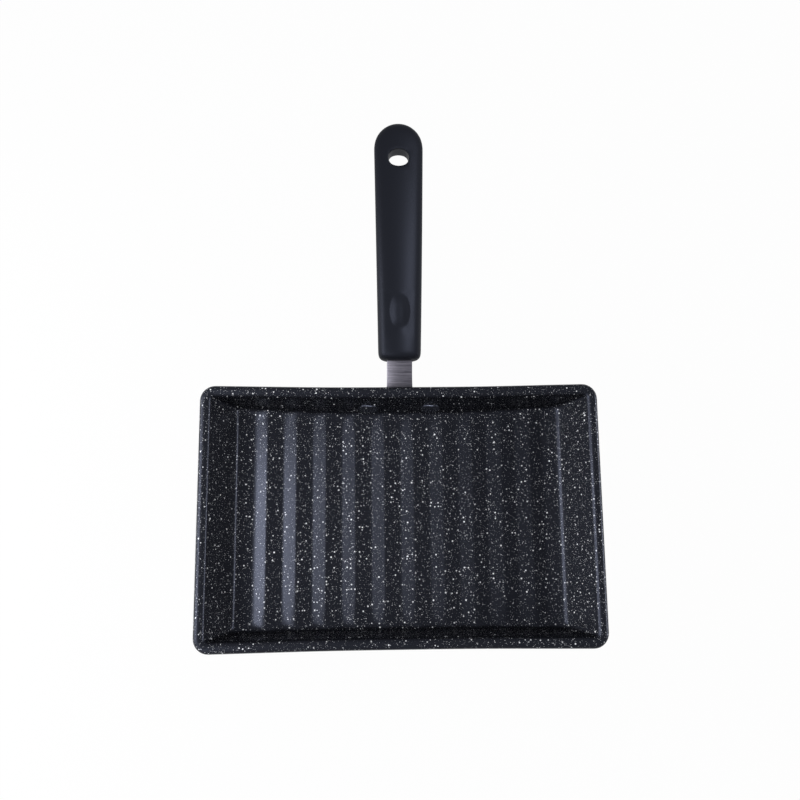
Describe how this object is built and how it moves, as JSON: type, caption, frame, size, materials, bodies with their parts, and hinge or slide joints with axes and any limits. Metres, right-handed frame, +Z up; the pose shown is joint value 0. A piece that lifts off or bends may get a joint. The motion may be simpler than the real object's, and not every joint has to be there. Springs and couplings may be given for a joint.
{
  "type": "grill pan",
  "caption": "Rectangular grill pan of pressed sheet with a ribbed floor, flared walls, a curled rim and a black moulded grip on a riveted bracket.",
  "frame": {"origin": "centre of the pan on the plane that it stands on, at the underside of the middle valley of the floor", "axes": "+Y from the pan to the end of the grip, +Z up out of the pan, +X to the right"},
  "size_m": [0.25, 0.3261, 0.0567],
  "materials": {
    "speckled_coating": "satin",
    "rivet_coating": "satin",
    "bare_steel": "satin",
    "black_grip": "satin",
    "plated_steel": "satin",
    "spring_steel": "satin",
    "brass": "satin"
  },
  "bodies": {
    "root": {"pan_body": "speckled_coating", "handle_bracket": "bare_steel", "rivet_left": "rivet_coating", "rivet_right": "rivet_coating", "grip": "black_grip", "grip_screw": "plated_steel", "spring_washer": "spring_steel", "threaded_insert": "brass"}
  },
  "joints": []
}
